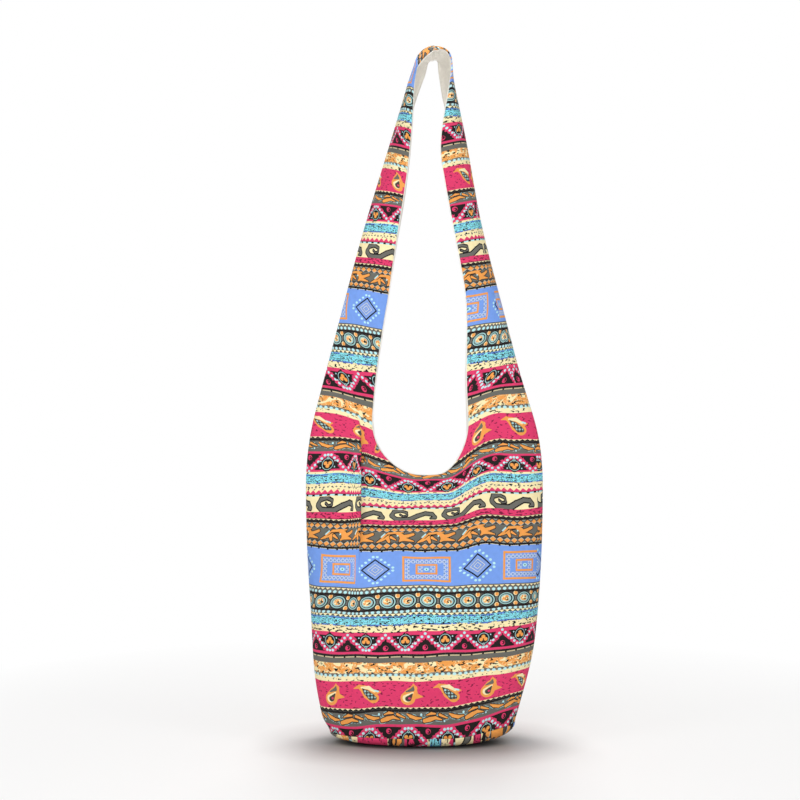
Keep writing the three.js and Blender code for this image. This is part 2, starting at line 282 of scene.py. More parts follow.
def sag(face, x, v, towards):
    """How far the middle of a row hangs below its ends: on the front it drops at the pleat and at a bend, and
    near the mouth it hugs the curve of the neckline."""
    ramp = np.clip((v - mouth_low + SLUMP_LENGTH) / SLUMP_LENGTH, 0, 1)
    deep = 0.17 * smooth(v, 215, 285) + 0.83 * ramp**1.1
    deep = deep * (1 - smooth(v, mouth_low, mouth_side + SHOULDER_ROUND))
    if face == BACK:
        return (MOUTH_SLUMP + MOUTH_SAG + 4) * deep * smooth(towards, 0.3, 0.7)
    step = smooth(x, PLEAT_AT - PLEAT_HALF / 2, PLEAT_AT + PLEAT_HALF / 2)
    soft = smooth(x, PLEAT_AT - 40, PLEAT_AT + 50)
    hug = smooth(v, 330, 440)
    step = step * mix(1.0, 0.45 + 0.55 * smooth(x, PLEAT_AT, PLEAT_AT + 90), hug)
    left = mix(soft, step, 0.75 * pleat_strength(v))
    right = 1 - smooth(x, mix(38, 22, hug), mix(92, 118, hug))
    return (MOUTH_SLUMP + MOUTH_SAG) * deep * left * right


def hang(face, side, a, v, lining):
    """Point of the hanging cloth of one face: a is 0 at the side fold and 1 at the middle or the free edge.
    Across a row the depth follows a rounded square, |1 - x|^n + |y|^n = 1. A lining isn't pleated: it lies
    behind the pleat."""
    x, z, inward, depth = row_of(face, side, v)
    across = 1 - np.clip(np.cos(np.pi / 2 * a), 0, 1) ** (2 / SQUARENESS)
    towards = np.clip(inward * across / np.maximum(x, 1e-6), 0, 1)
    share = mix(towards, across, smooth(v, mouth_low, mouth_side))
    out = (1 - np.clip(1 - share, 0, 1) ** SQUARENESS) ** (1 / SQUARENESS)
    tilt = 0.65 * smooth(v, mouth_low, mouth_side + SHOULDER_ROUND)
    tilt = strap_lean * (tilt + ARM_TILT[side] * smooth(v, 740, 940))
    px = side * (x - inward * across)
    py = face * (depth * out + slack(face, side, px, v, a, lining))
    pz = z - sag(face, px, v, towards) - inward * across * np.tan(tilt)
    if face == FRONT and not lining:
        turn = np.clip((px - PLEAT_AT) / PLEAT_HALF, -1, 1)
        px = px - PLEAT_BACK * pleat_strength(v) * np.sin(np.pi * turn)
    low = 1 - smooth(v, 0, 150)
    corner = low * smooth(px, 30, 150)
    hip = smooth(-px, 60, 140) * smooth(v, 0, 25) * (1 - smooth(v, 60, 200))
    bow = smooth(v, mouth_side - 80, mouth_side + 60) * (1 - smooth(v, arch_start - 260, arch_start - 90))
    px = px - CORNER_IN * corner - HIP_IN * hip - BOW_IN * bow * (side == RIGHT)
    pz = pz + CORNER_UP * corner
    if face == FRONT:
        droop = STRAP_DROOP + STRAP_LOPSIDED * (1 - smooth(px, -27, 22))
        pz = pz - droop * smooth(a, 0.3, 1.0) * smooth(v, arch_start - 50, arch_start + 12)
    px = px + ARCH_SHIFT * smooth(z, TOP - SHIFT_LENGTH, TOP)
    px = px + TOP_SHIFT * smooth(v, arch_start - 40, arch_start + 20)
    return np.stack([px, py, pz], axis=-1)


def cloth(face, side, s, v, lining=False):
    """Point of a panel: s is 0 at the side fold and 1 at the middle or the free edge, and where a panel
    reaches round the fold, s is below 0 and the point lies on the other face."""
    s, v = np.broadcast_arrays(np.asarray(s, float), np.asarray(v, float))
    here = hang(face, side, np.maximum(s, 0), v, lining)
    round_fold = hang(-face, side, np.maximum(-s, 0), v, lining)
    return np.where((s < 0)[..., None], round_fold, here)


def unit(a):
    """Arrows shortened to length 1."""
    return a / np.maximum(np.linalg.norm(a, axis=-1, keepdims=True), 1e-9)


print("middle of the front, halfway up", np.round(cloth(FRONT, LEFT, 1.0, 200.0), 1))

# %% [markdown]
# ## Grids into meshes
# Every piece is a grid of points, so one helper turns rows of points into a mesh: it numbers the corners
# of each square with array arithmetic and lays a UV map over them. The UV map holds millimetres of cloth,
# across and up, divided by a thousand. That is what the printed pattern reads, so the pattern bends and
# slides with the cloth, as real printing does.

# %% Make a mesh from squares
def squares(ids):
    """Corner numbers of every square of a grid of point numbers, one row per square."""
    return np.stack([ids[:-1, :-1], ids[:-1, 1:], ids[1:, 1:], ids[1:, :-1]], axis=-1).reshape(-1, 4)


def make_piece(name, points, prints, faces, material, thick):
    """A cloth with a thickness, from points in millimetres above the foot. Its UV map is metres of cloth."""
    mesh = bpy.data.meshes.new(name)
    mesh.from_pydata((points * MM + foot).tolist(), [], faces.tolist())
    layer = mesh.uv_layers.new(name="cloth")
    corners = np.empty(len(mesh.loops), dtype=np.int32)
    mesh.loops.foreach_get("vertex_index", corners)
    layer.data.foreach_set("uv", (prints[corners] * MM).astype(np.float32).ravel())
    mesh.polygons.foreach_set("use_smooth", np.ones(len(mesh.polygons), dtype=bool))
    mesh.materials.append(material)
    piece = bpy.data.objects.new(name, mesh)
    bpy.context.scene.collection.objects.link(piece)
    wall = piece.modifiers.new("cloth thickness", "SOLIDIFY")
    wall.thickness = thick * MM
    wall.offset = -1
    print(name, len(points), "points,", len(faces), "squares")
    return piece


# %% [markdown]
# ## Shader arithmetic
# The print is made of shapes that are easy to say as sums: a dot is where the distance from a centre is
# small, a zigzag is where the height is under a triangle wave. Math nodes do those sums, and this small
# class lets a formula be typed as one, with a node added for each sign in it.

# %% Type formulas, get nodes
class Number:
    """A value in a node tree. Arithmetic on it adds Math nodes, and a comparison gives a mask of 0 and 1."""

    def __init__(self, tree, socket):
        self.tree = tree
        self.socket = socket

    def node(self, operation, *values):
        math = self.tree.nodes.new("ShaderNodeMath")
        math.operation = operation
        for slot, value in zip(math.inputs, values):
            if isinstance(value, Number):
                self.tree.links.new(value.socket, slot)
            else:
                slot.default_value = value
        return Number(self.tree, math.outputs[0])

    def __add__(self, other):
        return self.node("ADD", self, other)

    def __radd__(self, other):
        return self.node("ADD", other, self)

    def __sub__(self, other):
        return self.node("SUBTRACT", self, other)

    def __rsub__(self, other):
        return self.node("SUBTRACT", other, self)

    def __mul__(self, other):
        return self.node("MULTIPLY", self, other)

    __rmul__ = __mul__

    def __truediv__(self, other):
        return self.node("DIVIDE", self, other)

    def __lt__(self, other):
        return self.node("LESS_THAN", self, other)

    def __gt__(self, other):
        return self.node("GREATER_THAN", self, other)

    def __and__(self, other):
        return self.node("MULTIPLY", self, other)

    def __or__(self, other):
        return self.node("MAXIMUM", self, other)

    def __abs__(self):
        return self.node("ABSOLUTE", self)

    def sine(self):
        return self.node("SINE", self)

    def down(self):
        return self.node("FLOOR", self)

    def least(self, other):
        return self.node("MINIMUM", self, other)

    def clamp(self):
        """The value held between 0 and 1."""
        return self.node("MAXIMUM", self.least(1.0), 0.0)

    def every(self, pitch, shift=0.0):
        """Distance from the nearest of a row of places, pitch apart: it runs from -pitch/2 to pitch/2."""
        start = self - shift if shift else self
        return self.node("WRAP", start, pitch / 2, -pitch / 2)

    def zigzag(self, pitch):
        """A triangle wave that runs from 0 to 1 and back in each pitch."""
        return self.node("PINGPONG", self, pitch / 2) * (2 / pitch)


def inside(across, up, radius):
    """Mask of a disc: across squared plus up squared is under the radius squared."""
    return across.node("MULTIPLY_ADD", across, across, up * up) < radius**2


STROKE_BLEND = 0.9


def strokes(across, up, path):
    """Distance from a brush stroke through points (across, up, half-width), negative inside it. For each
    stretch it is the distance from the nearest point of a straight line, less the width there, and a smooth
    minimum joins the stretches."""
    nearest = None
    for (from_x, from_y, from_wide), (to_x, to_y, to_wide) in zip(path, path[1:]):
        run_x, run_y = to_x - from_x, to_y - from_y
        square = run_x**2 + run_y**2
        off_x, off_y = across - from_x, up - from_y
        along = (off_x * (run_x / square) + off_y * (run_y / square)).clamp()
        gap_x, gap_y = off_x - along * run_x, off_y - along * run_y
        away = gap_x.node("SQRT", gap_x.node("MULTIPLY_ADD", gap_x, gap_x, gap_y * gap_y))
        away = away - (along * (to_wide - from_wide) + from_wide)
        nearest = away if nearest is None else nearest.node("SMOOTH_MIN", nearest, away, STROKE_BLEND)
    return nearest


def nearest_stroke(across, up, paths):
    """Distance from the nearest of several brush strokes."""
    nearest = strokes(across, up, paths[0])
    for path in paths[1:]:
        nearest = nearest.least(strokes(across, up, path))
    return nearest


def dye(red, green, blue):
    """A colour as it looks on screen, 0 to 255, turned into the linear light that Blender mixes."""
    c = np.array([red, green, blue]) / 255
    linear = np.where(c <= 0.04045, c / 12.92, ((c + 0.055) / 1.055) ** 2.4)
    return (*linear.tolist(), 1.0)


# %% [markdown]
# ## The dyes and the bands
# The print repeats up the cloth about every 393 mm. Listing its bands from the bottom up, each with its
# height and the colour of its ground, gives a ColorRamp all the stops it needs, and tells each motif
# where the middle of its band is.

# %% List the bands
PINK = dye(222, 60, 108)
DEEP_PINK = dye(120, 26, 58)
BLUE = dye(118, 158, 232)
CYAN = dye(186, 230, 236)
CREAM = dye(247, 232, 182)
ORANGE = dye(238, 160, 80)
GREY = dye(104, 104, 98)
SAGE = dye(136, 143, 134)
DARK = dye(70, 64, 62)
TEAL = dye(158, 200, 200)
MIST = dye(200, 210, 224)
POOL = dye(138, 224, 236)
DEEP_BLUE = dye(84, 122, 214)
BLACK = dye(26, 22, 22)
SAND = dye(216, 200, 156)
BANDS = [
    ("leaves", 17.7, GREY), ("leaf line", 3.7, BLACK), ("paisley", 38.4, PINK),
    ("specks low", 6.2, CREAM), ("dots low", 5.0, GREY), ("mottle", 16.4, ORANGE),
    ("dashes", 11.5, GREY), ("pointed", 32.0, PINK), ("specks mid", 10.3, CREAM),
    ("pond", 13.4, POOL), ("saw low", 3.7, DARK), ("dots mid", 4.7, GREY),
    ("ovals", 24.7, DARK), ("dots high", 5.9, GREY), ("saw high", 3.0, DARK),
    ("blue", 55.4, BLUE), ("bead line", 2.2, CREAM), ("check low", 10.3, DARK),
    ("flames", 17.7, GREY), ("check high", 10.3, DARK), ("saw top", 3.0, BLACK),
    ("flecks", 9.9, PINK), ("scrolls", 22.2, CREAM), ("blue dashes", 3.7, BLACK),
    ("pink saw", 5.9, CREAM), ("dot row", 8.9, CREAM), ("pool", 13.6, POOL),
    ("specks high", 3.7, CREAM), ("arches", 29.5, PINK),
]
heights = np.array([height for _, height, _ in BANDS])
REPEAT = float(heights.sum())
starts = np.cumsum(heights) - heights
FIRST_BAND = 20.0
START = {name: float(start) for (name, _, _), start in zip(BANDS, starts)}
HIGH = {name: height for name, height, _ in BANDS}
print(len(BANDS), "bands repeat every", round(REPEAT, 1), "mm")

# %% [markdown]
# ## The print as a node group
# The front, back, base and facings all carry the same print, so it is built once as a node group that
# takes a place on the cloth and gives a colour. An image would need someone's drawing of the cloth; a
# formula for each motif stays sharp at any distance. Each motif is mixed over the ground as soon as it is
# made, band by band, which keeps the tree easy to follow.

# %% Start the print group
print_tree = bpy.data.node_groups.new("printed bands", "ShaderNodeTree")
print_tree.interface.new_socket("Cloth", in_out="INPUT", socket_type="NodeSocketVector")
print_tree.interface.new_socket("Color", in_out="OUTPUT", socket_type="NodeSocketColor")
print_in = print_tree.nodes.new("NodeGroupInput")
print_out = print_tree.nodes.new("NodeGroupOutput")
cloth_place = print_tree.nodes.new("ShaderNodeSeparateXYZ")
print_tree.links.new(print_in.outputs["Cloth"], cloth_place.inputs[0])
across = Number(print_tree, cloth_place.outputs["X"]) * (1 / MM)
upwards = Number(print_tree, cloth_place.outputs["Y"]) * (1 / MM)
height = (upwards - FIRST_BAND).node("WRAP", upwards - FIRST_BAND, REPEAT, 0.0)

ground = print_tree.nodes.new("ShaderNodeValToRGB")
ground.color_ramp.interpolation = "CONSTANT"
stops = ground.color_ramp.elements
while len(stops) < len(BANDS):
    stops.new(0.5)
for stop, start, band in zip(stops, starts, BANDS):
    stop.position = start / REPEAT
    stop.color = band[2]
print_tree.links.new((height / REPEAT).socket, ground.inputs["Fac"])
printed = ground.outputs["Color"]


def fine_noise(scale, detail, drawn_out=1.0):
    """A soft random field over the cloth: blotches about 1/scale millimetres high, drawn out sideways."""
    squeeze = print_tree.nodes.new("ShaderNodeVectorMath")
    squeeze.operation = "MULTIPLY"
    squeeze.inputs[1].default_value = (1 / drawn_out, 1.0, 1.0)
    print_tree.links.new(print_in.outputs["Cloth"], squeeze.inputs[0])
    grain = print_tree.nodes.new("ShaderNodeTexNoise")
    grain.noise_dimensions = "2D"
    grain.inputs["Scale"].default_value = scale / MM
    grain.inputs["Detail"].default_value = detail
    print_tree.links.new(squeeze.outputs[0], grain.inputs["Vector"])
    return Number(print_tree, grain.outputs["Fac"])


def paint(colour, mask):
    """Lays a colour over what is printed so far, where the mask is 1."""
    global printed
    layer = print_tree.nodes.new("ShaderNodeMix")
    layer.data_type = "RGBA"
    layer.inputs[7].default_value = colour
    print_tree.links.new(mask.socket, layer.inputs[0])
    print_tree.links.new(printed, layer.inputs[6])
    printed = layer.outputs[2]


def bullseye(mask, across, up, discs):
    """Paints discs on one centre, the largest first. Each is a colour and a radius."""
    for colour, radius in discs:
        paint(colour, mask & inside(across, up, radius))


def middle(band):
    """Height above the middle of a band."""
    return height - (START[band] + HIGH[band] / 2)


def within(band, trim=0.0):
    """Mask of a band, less a trim at its top and bottom."""
    return abs(middle(band)) < HIGH[band] / 2 - trim


specks = fine_noise(0.30, 2.0)
squiggles = fine_noise(0.34, 1.5, 2.0)
blotches = fine_noise(0.11, 1.0)
print("print group started, with", len(stops), "grounds")

# %% [markdown]
# ### Narrow bands
# Between the wide bands run narrow ones: cyan dots on grey, cream saw teeth on black, flecks on cream.
# Bands with the same motif share one set of nodes, by measuring to whichever of their middles is nearest.

# %% Print the narrow bands
DOT = 8.4
dot_rows = abs(middle("dots low")).least(abs(middle("dots mid"))).least(abs(middle("dots high")))
paint(CYAN, inside(across.every(DOT) * 0.8, dot_rows, 2.15))

teeth = across.zigzag(DOT)
for band, reach in (("leaf line", 2.2), ("saw low", 3.7), ("saw high", 3.0), ("saw top", 2.0)):
    from_top = START[band] + HIGH[band] - height
    paint(CREAM, (from_top < teeth * reach) & (from_top > 0.0))

flecked = within("specks low") | within("specks mid") | within("specks high")
paint(BLACK, flecked & (squiggles > 0.59) & ((blotches > 0.5) | within("specks mid")))
paint(PINK, within("pink saw") & (middle("pink saw") < across.zigzag(9.4) * 4.4 - 1.2))
paint(GREY, within("dot row") & inside(across.every(6.3) * 0.7, middle("dot row") + 0.5, 1.0))
paint(BLACK, within("dot row") & (squiggles > 0.66))
paint(CYAN, within("blue dashes", 0.7) & (abs(across.every(12.0)) < 3.6))
paint(SAND, within("dashes") & (abs(middle("dashes") - 2.4) < 0.7))
paint(BLACK, within("dashes") & (abs(middle("dashes") - 2.4) < 1.2) & (abs(across.every(17.0)) < 1.5))
paint(DEEP_PINK, within("flecks") & (squiggles > 0.59))
paint(BLACK, within("bead line") & inside(across.every(15.6), middle("bead line"), 1.6))

lines = [START["leaves"] + HIGH["leaves"] - 0.9, START["dashes"] + HIGH["dashes"] - 0.8]
lines += [START["check high"] + HIGH["check high"] - 1.0, START["check low"] + 1.0]
lines += [START["ovals"] + 0.9, START["ovals"] + HIGH["ovals"] - 0.9]
dark_edge = abs(height - lines[0])
for line in lines[1:]:
    dark_edge = dark_edge.least(abs(height - line))
print("narrow bands", len(print_tree.nodes), "nodes so far")

# %% [markdown]
# ### Mottled bands
# Two bands of pale cyan look like rippled water and one of orange like stone. Both are a noise cut at
# different levels: a wide cut gives patches, and a thin slice of it gives squiggles.

# %% Print the mottled bands
wet = within("pond") | within("pool")
wet_edge = within("pond") & (abs(middle("pond")) > 4.6) | within("pool") & (abs(middle("pool")) > 4.8)
paint(DEEP_BLUE, wet_edge & (blotches > 0.44))
paint(BLACK, wet & (abs(squiggles - 0.5) < 0.042))
stony = within("mottle")
veins = fine_noise(0.12, 1.0, 1.5)
paint(CREAM, stony & (abs(veins - 0.5) > 0.055))
paint(ORANGE, stony & (veins > 0.58))
paint(BLACK, stony & (squiggles > 0.59) & (blotches > 0.47))
print("mottled bands", len(print_tree.nodes), "nodes so far")

# %% [markdown]
# ### Leaves and paisleys
# Curling motifs are brush strokes: a few points, each with a width, and the distance from the line through
# them. Where that distance is negative there is colour, and a little further out is the black outline. A
# leaf is a stroke that swells and tapers, and a paisley is a fat stroke that curls to a point.

# %% Print the leaves
LEAF = 61.0
leaf = across.every(LEAF, 4.0)
leaf_up = middle("leaves")
leaf_strokes = [
    [(-31, 4.8, 0.5), (-25, 1.2, 1.9), (-17, -1.6, 1.9), (-9.5, -1.4, 0.8)],
    [(-5, -4.6, 2.2), (3, -2.4, 2.6), (11, -0.2, 1.8), (20, -2.4, 0.6)],
    [(-2, 2.4, 0.5), (5, 4.8, 1.5), (11, 4.6, 0.8)],
    [(17, 3.6, 1.5), (28, -0.6, 0.7)],
]
leaf_off = nearest_stroke(leaf, leaf_up, leaf_strokes)
in_leaves = within("leaves")
paint(TEAL, in_leaves & (abs(leaf_off - 1.7) < 0.4) & (squiggles > 0.5))
paint(BLACK, in_leaves & (leaf_off < 1.1))
paint(ORANGE, in_leaves & (leaf_off < 0.1))
paint(CYAN, in_leaves & inside(leaf + 9.5, leaf_up - 3.0, 1.6))
paint(CYAN, in_leaves & inside(leaf - 24.0, leaf_up + 4.2, 1.2))
print("leaves", len(print_tree.nodes), "nodes so far")

# %% Print the paisleys
PEAR = 116.0
pear_up = middle("paisley")
paint(DEEP_PINK, within("paisley") & (squiggles > 0.665))
small = across.every(PEAR, -22.0) * 0.8
small_up = pear_up * 0.86
small_strokes = [
    [(-2, -5, 8.6), (2, 2, 7.0), (4.5, 8, 4.0), (4, 13.5, 0.6)],
    [(6, -2, 4.5), (15, -3.5, 0.5)],
]
paint(ORANGE, nearest_stroke(small, small_up, small_strokes) < 0.0)
paint(CREAM, strokes(small, small_up, [(-3, -5, 5.2), (3.5, 2.5, 0.8)]) < 0.0)
paint(GREY, strokes(small, small_up, [(-4, 3.4, 0.8), (3, 6.4, 2.4), (4, 10, 0.8)]) < 0.0)
paint(DARK, strokes(small, small_up, [(-1.6, -5.6, 3.7), (2.8, 0.5, 0.8)]) < 0.0)
paint(PINK, inside(small + 0.4, small_up + 5.2, 1.5))
large = across.every(PEAR, 34.0) * 0.86
large_up = pear_up * 0.92
large_strokes = [
    [(7, -6, 6.6), (0, 0.5, 7.0), (-6, 7.5, 5.0), (-12, 10.5, 2.6), (-19, 8, 0.5)],
    [(7, 2, 4.6), (15, 2.5, 0.8)],
]
paint(ORANGE, nearest_stroke(large, large_up, large_strokes) < 0.0)
paint(CREAM, strokes(large, large_up, [(-9, 9.4, 1.2), (0, 9.2, 2.4), (8, 3.5, 1.4)]) < 0.0)
core = strokes(large, large_up, [(-8, 8, 0.5), (-3, 3, 3.4), (4, -4, 4.4), (8, -6, 2.6)])
paint(DARK, core < 0.0)
paint(TEAL, (core < -0.8) & inside(large.every(4.4), large_up.every(4.4), 1.5))
paint(CYAN, strokes(large, large_up, [(8, 5.2, 0.8), (12, 3.4, 1.3)]) < 0.0)
print("paisleys", len(print_tree.nodes), "nodes so far")

# %% [markdown]
# ### Flames and scrolls
# The orange flames are tongues that grow out of one another, and the grey scrolls are a tail that runs into
# a spiral. Each is drawn once as a few strokes and repeated across the cloth. From one repeat of the bands
# to the next, the scrolls slide along by half their length.

# %% Print the flames
FLAME = 59.0
flame = across.every(FLAME, 16.5)
flame_up = middle("flames")
tongues = [
    [(-27, -7, 0.6), (-20, -3.5, 2.0), (-14, 0.5, 3.2), (-9.5, 5.4, 2.4), (2, 6.8, 2.0), (11.5, 7.6, 0.5)],
    [(1, 5.6, 1.6), (8, 2.4, 3.2), (10, -2.6, 3.4), (6, -6.2, 1.2)],
    [(10, 0, 2.6), (17.5, 1.4, 2.2), (25.5, 4.6, 1.9)],
    [(12, -3.4, 2.6), (26, -5.8, 0.6)],
    [(-12, -1, 2.8), (-9.5, -6.4, 1.8)],
    [(-6.5, -0.4, 1.8), (0.5, -4.6, 0.6)],
]
flame_off = nearest_stroke(flame, flame_up, tongues)
in_flames = within("flames")
paint(BLACK, in_flames & (flame_off < 1.2))
paint(ORANGE, in_flames & (flame_off < 0.15))
paint(BLACK, in_flames & (strokes(flame, flame_up, [(-17, -1.6, 0.3), (-11, 3.4, 0.7), (1, 4.8, 0.4)]) < 0.0))
paint(CYAN, in_flames & inside(flame - 3.0, flame_up - 1.6, 1.3))
paint(CYAN, in_flames & (abs(strokes(flame, flame_up, [(-20.5, 0.5, 0.3), (-15.5, 5.4, 0.3)])) < 0.7))
print("flames", len(print_tree.nodes), "nodes so far")

# %% Print the scrolls
CURL = 76.0
repeats = ((upwards - FIRST_BAND) / REPEAT).down()
scroll = (across + repeats * (CURL / 2)).every(CURL, 59.0)
scroll_up = middle("scrolls") * 0.62
curl = [
    (-16, -5.4, 2.1), (-25, -5.0, 2.3), (-31.5, -0.6, 2.5), (-28, 4.4, 2.1), (-18, 5.6, 1.6),
    (-9.5, 3.2, 1.2), (-9, -0.6, 0.9), (-14.5, -1.6, 0.7), (-19, 0.8, 0.9),
]
tail = [
    (-16, -5.4, 2.2), (-5, -5.6, 2.5), (6, -1.6, 2.4), (18, 1.6, 2.1), (28, 0.4, 2.2), (32, -3.4, 2.0),
    (25, -4.6, 0.6),
]
scroll_off = nearest_stroke(scroll, scroll_up, [curl, tail])
in_scrolls = within("scrolls")
paint(BLACK, in_scrolls & (scroll_off < 0.8))
paint(GREY, in_scrolls & (scroll_off < -0.4))
print("scrolls", len(print_tree.nodes), "nodes so far")

# %% [markdown]
# ### Pointed bands and checks
# One pink band is cut by a zigzag of cyan dots, with dark points above and below it, and it comes back
# upside down as a row of arches. Measuring the height downwards in the second band lets both use one set
# of nodes. The two checked bands mirror each other in the same way, about the flames between them.

# %% Print the pointed bands
POINT = 57.0
POINT_DOT = POINT / 12
flipped = height > START["pool"]
upright = middle("pointed")
hanging = 0.0 - middle("arches")
point_up = upright + flipped * (hanging - upright)
point_across = across - POINT / 2 - flipped * 4.5
in_points = within("pointed") | within("arches")


def point_crest(place):
    """Height of the zigzag: sharp at its tops and cut flat at its feet."""
    wave = place.zigzag(POINT) * 27.0 - 13.6
    return wave.node("MAXIMUM", wave, -9.4)


crest = point_crest(point_across)
ragged = specks * 9.0 + 1.6
paint(BLACK, in_points & (abs(point_up - crest) > ragged) & (abs(point_up) < 11.6))
step = (point_across / POINT_DOT + 0.5).down() * POINT_DOT
paint(PINK, in_points & inside(point_across - step, point_up - point_crest(step), 3.4))
paint(CYAN, in_points & inside((point_across - step) * 0.9, point_up - point_crest(step), 1.9))
bay = abs(point_across.every(POINT))
heart_up = point_up - 4.0
paint(BLACK, in_points & (bay * 0.7 + abs(heart_up) < 12.4) & (specks > 0.40))
bullseye(in_points, bay, heart_up, [(BLACK, 9.4), (TEAL, 8.4), (BLACK, 7.5)])
paint(TEAL, in_points & (abs(bay + abs(heart_up + 9.0) - 1.8) < 0.6))
paint(CYAN, in_points & inside(bay - 10.6, abs(heart_up) - 4.6, 1.0))
trefoil = inside(bay - 3.4, heart_up + 1.4, 2.7) | inside(bay, heart_up - 2.6, 2.9)
paint(ORANGE, in_points & trefoil)
low_bay = point_across.every(POINT, POINT / 2)
paint(PINK, in_points & inside(low_bay, point_up + 6.0, 3.8))
paint(BLACK, in_points & inside(low_bay - 0.8, point_up + 5.4, 2.4))
paint(PINK, in_points & inside(low_bay + 0.4, point_up + 5.6, 1.2))
print("pointed bands", len(print_tree.nodes), "nodes so far")

# %% Print the checks
CHECK = 11.0
flame_middle = START["flames"] + HIGH["flames"] / 2
check_from = START["check high"] + HIGH["check high"] / 2 - flame_middle
check_up = check_from - abs(height - flame_middle)
checked = within("check low") | within("check high")
brick = abs(across.every(CHECK)) * 0.72
gap = abs(across.every(CHECK, CHECK / 2)) * 0.72
paint(SAGE, checked & (gap + abs(check_up + 2.4) < 2.5))
paint(TEAL, checked & (brick + abs(check_up - 1.9) < 3.7))
paint(ORANGE, checked & (brick + abs(check_up - 1.3) < 3.5))
print("checks", len(print_tree.nodes), "nodes so far")

# %% [markdown]
# ### Ovals and the blue band
# The dark band carries a chain of ringed ovals with beads between them. The blue band is the widest: a
# framed box within a box, and between two boxes a black diamond in a ring of cyan beads. A diamond is
# where the distance across plus the distance up is small, and a box is where the larger of them is.

# %% Print the ovals
OVAL = 29.0
OVAL_FROM = 4.0
oval = across.every(OVAL, OVAL_FROM) * 0.78
oval_up = middle("ovals")
in_ovals = within("ovals")
paint(GREY, in_ovals & (abs(oval_up) < 8.0))
bullseye(in_ovals, oval, oval_up, [(BLACK, 10.2), (TEAL, 9.0), (BLACK, 7.5)])
paint(TEAL, in_ovals & inside(oval + 0.4, oval_up, 6.4))
paint(CREAM, in_ovals & inside(oval + 0.9, oval_up, 4.4))
paint(ORANGE, in_ovals & inside(oval + 0.2, oval_up - 0.3, 4.8) & (specks > 0.47))
paint(BLACK, in_ovals & inside(oval - 1.2, oval_up + 0.6, 2.2) & (specks > 0.44))
bead = across.every(OVAL, OVAL_FROM + OVAL / 2)
bead_up = abs(oval_up) - 7.8
bullseye(in_ovals, bead, bead_up, [(BLACK, 4.4), (CREAM, 3.4)])
paint(ORANGE, in_ovals & inside(bead - 0.5, bead_up, 2.6))
print("ovals", len(print_tree.nodes), "nodes so far")

# %% Print the blue band
BOX = 148.0
BOX_FROM = 2.0
LINK = 6.4
in_blue = within("blue")
box_across = abs(across.every(BOX, BOX_FROM))
box_up = abs(middle("blue"))
outer = (box_across - 35.0).node("MAXIMUM", box_across - 35.0, box_up - 20.8)
inner = (box_across - 15.8).node("MAXIMUM", box_across - 15.8, box_up - 9.0)
fill = in_blue & (outer < -4.0) & (outer > -10.6) | in_blue & (inner < -3.6) & (box_across > 5.4)
link = across.every(LINK, BOX_FROM)
link_up = middle("blue").every(LINK)
bullseye(fill, link, link_up, [(MIST, 2.9), (BLUE, 1.7), (SAGE, 0.8)])
paint(ORANGE, in_blue & (abs(outer + 1.6) < 1.6))
paint(ORANGE, in_blue & (abs(inner + 1.5) < 1.5))
paint(CYAN, in_blue & inside(box_across * 0.7, box_up, 2.6))
paint(BLACK, in_blue & inside(box_across, box_up, 1.0))
gem_across = abs(across.every(BOX, BOX_FROM + BOX / 2)) * 0.82
gem = gem_across + box_up
paint(BLACK, in_blue & (abs(gem - 16.6) < 1.3))
paint(SAGE, in_blue & (abs(gem.every(4.6)) < 1.1) & (gem < 13.4))
paint(MIST, in_blue & (abs(gem.every(4.6)) < 0.7) & (gem < 13.4))
gem_ring = (gem_across - box_up).every(9.2)
paint(CYAN, in_blue & inside(gem_ring * 0.75, (gem - 23.4) * 0.75, 1.9) & (box_up < 26.0))
paint(BLACK, dark_edge < 0.9 + specks)
print_tree.links.new(printed, print_out.inputs["Color"])
print("the whole print", len(print_tree.nodes), "nodes")

# %% [markdown]
# ## The weave
# Up close the cotton is a plain weave: threads over and under, about half a millimetre apart. It is far
# too fine to model, so a second node group makes a height for a Bump node and a faint unevenness of
# colour. Printed cloth and plain lining use it with their own thread size.

# %% Build the weave group
weave_tree = bpy.data.node_groups.new("plain weave", "ShaderNodeTree")
weave_tree.interface.new_socket("Cloth", in_out="INPUT", socket_type="NodeSocketVector")
weave_tree.interface.new_socket("Thread", in_out="INPUT", socket_type="NodeSocketFloat")
weave_tree.interface.new_socket("Height", in_out="OUTPUT", socket_type="NodeSocketFloat")
weave_tree.interface.new_socket("Shade", in_out="OUTPUT", socket_type="NodeSocketFloat")
weave_in = weave_tree.nodes.new("NodeGroupInput")
weave_out = weave_tree.nodes.new("NodeGroupOutput")
weave_place = weave_tree.nodes.new("ShaderNodeSeparateXYZ")
weave_tree.links.new(weave_in.outputs["Cloth"], weave_place.inputs[0])
thread = Number(weave_tree, weave_in.outputs["Thread"])
warp = Number(weave_tree, weave_place.outputs["X"]) * (np.pi / MM) / thread
weft = Number(weave_tree, weave_place.outputs["Y"]) * (np.pi / MM) / thread
crossing = warp.sine() * weft.sine()
slub = weave_tree.nodes.new("ShaderNodeTexNoise")
slub.noise_dimensions = "2D"
slub.inputs["Scale"].default_value = 160.0
slub.inputs["Detail"].default_value = 3.0
weave_tree.links.new(weave_in.outputs["Cloth"], slub.inputs["Vector"])
weave_tree.links.new((crossing * 0.5 + 0.5).socket, weave_out.inputs["Height"])
unevenness = Number(weave_tree, slub.outputs["Fac"]) * 0.16 + crossing * 0.03 + 0.92
weave_tree.links.new(unevenness.socket, weave_out.inputs["Shade"])
print("weave group", len(weave_tree.nodes), "nodes")


